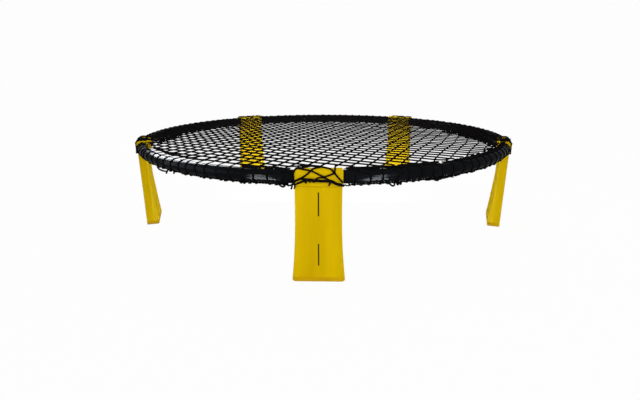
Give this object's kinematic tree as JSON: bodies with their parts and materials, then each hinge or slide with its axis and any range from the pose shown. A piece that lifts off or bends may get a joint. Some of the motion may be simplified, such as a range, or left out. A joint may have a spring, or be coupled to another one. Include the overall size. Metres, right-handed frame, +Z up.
{
  "type": "rebound_net",
  "caption": "Low round rebound net: a black tubular ring on folding yellow moulded legs, with a black knotted string net stretched flat over the ring and hooked under its outer edge.",
  "frame": {"origin": "On the ring's axis at the ground, in the plane of the foot soles.", "axes": "X across the ring, to the right when leg 1 faces the viewer; Y from leg 1 across the ring, away from the viewer; Z up, along the ring's axis."},
  "size_m": [0.9172, 0.9196, 0.2032],
  "materials": {
    "black_plastic": "smooth black moulded plastic, semi-gloss",
    "yellow_plastic": "fine-textured yellow moulded plastic with a soft sheen",
    "foot_rubber": "matt yellow-ochre soft plastic",
    "pin_steel": "plain drawn steel",
    "net_string": "knotted black braided string"
  },
  "bodies": {
    "frame": {"rim_tube_1": "black_plastic", "rim_tube_2": "black_plastic", "rim_tube_3": "black_plastic", "rim_tube_4": "black_plastic", "rim_tube_5": "black_plastic", "leg_head_1": "yellow_plastic", "leg_head_2": "yellow_plastic", "leg_head_3": "yellow_plastic", "leg_head_4": "yellow_plastic", "leg_head_5": "yellow_plastic", "hinge_pin_1": "pin_steel", "hinge_pin_2": "pin_steel", "hinge_pin_3": "pin_steel", "hinge_pin_4": "pin_steel", "hinge_pin_5": "pin_steel", "net": "net_string", "net_edge_strings": "net_string", "border_cord": "net_string"},
    "leg_1": {"leg_shell_1": "yellow_plastic", "leg_back_1": "yellow_plastic", "foot_pad_1": "foot_rubber"},
    "leg_2": {"leg_shell_2": "yellow_plastic", "leg_back_2": "yellow_plastic", "foot_pad_2": "foot_rubber"},
    "leg_3": {"leg_shell_3": "yellow_plastic", "leg_back_3": "yellow_plastic", "foot_pad_3": "foot_rubber"},
    "leg_4": {"leg_shell_4": "yellow_plastic", "leg_back_4": "yellow_plastic", "foot_pad_4": "foot_rubber"},
    "leg_5": {"leg_shell_5": "yellow_plastic", "leg_back_5": "yellow_plastic", "foot_pad_5": "foot_rubber"}
  },
  "joints": [
    {"name": "leg_fold_1", "type": "hinge", "parent": "frame", "child": "leg_1", "pos_m": [0, -0.4441, 0.166], "axis": [1, 0, 0], "range_deg": [0, 90]},
    {"name": "leg_fold_2", "type": "hinge", "parent": "frame", "child": "leg_2", "pos_m": [0.42236, -0.13723, 0.166], "axis": [0.309, 0.9511, 0], "range_deg": [0, 90]},
    {"name": "leg_fold_3", "type": "hinge", "parent": "frame", "child": "leg_3", "pos_m": [0.26104, 0.35928, 0.166], "axis": [-0.809, 0.5878, 0], "range_deg": [0, 90]},
    {"name": "leg_fold_4", "type": "hinge", "parent": "frame", "child": "leg_4", "pos_m": [-0.26104, 0.35928, 0.166], "axis": [-0.809, -0.5878, 0], "range_deg": [0, 90]},
    {"name": "leg_fold_5", "type": "hinge", "parent": "frame", "child": "leg_5", "pos_m": [-0.42236, -0.13723, 0.166], "axis": [0.309, -0.9511, 0], "range_deg": [0, 90]}
  ]
}
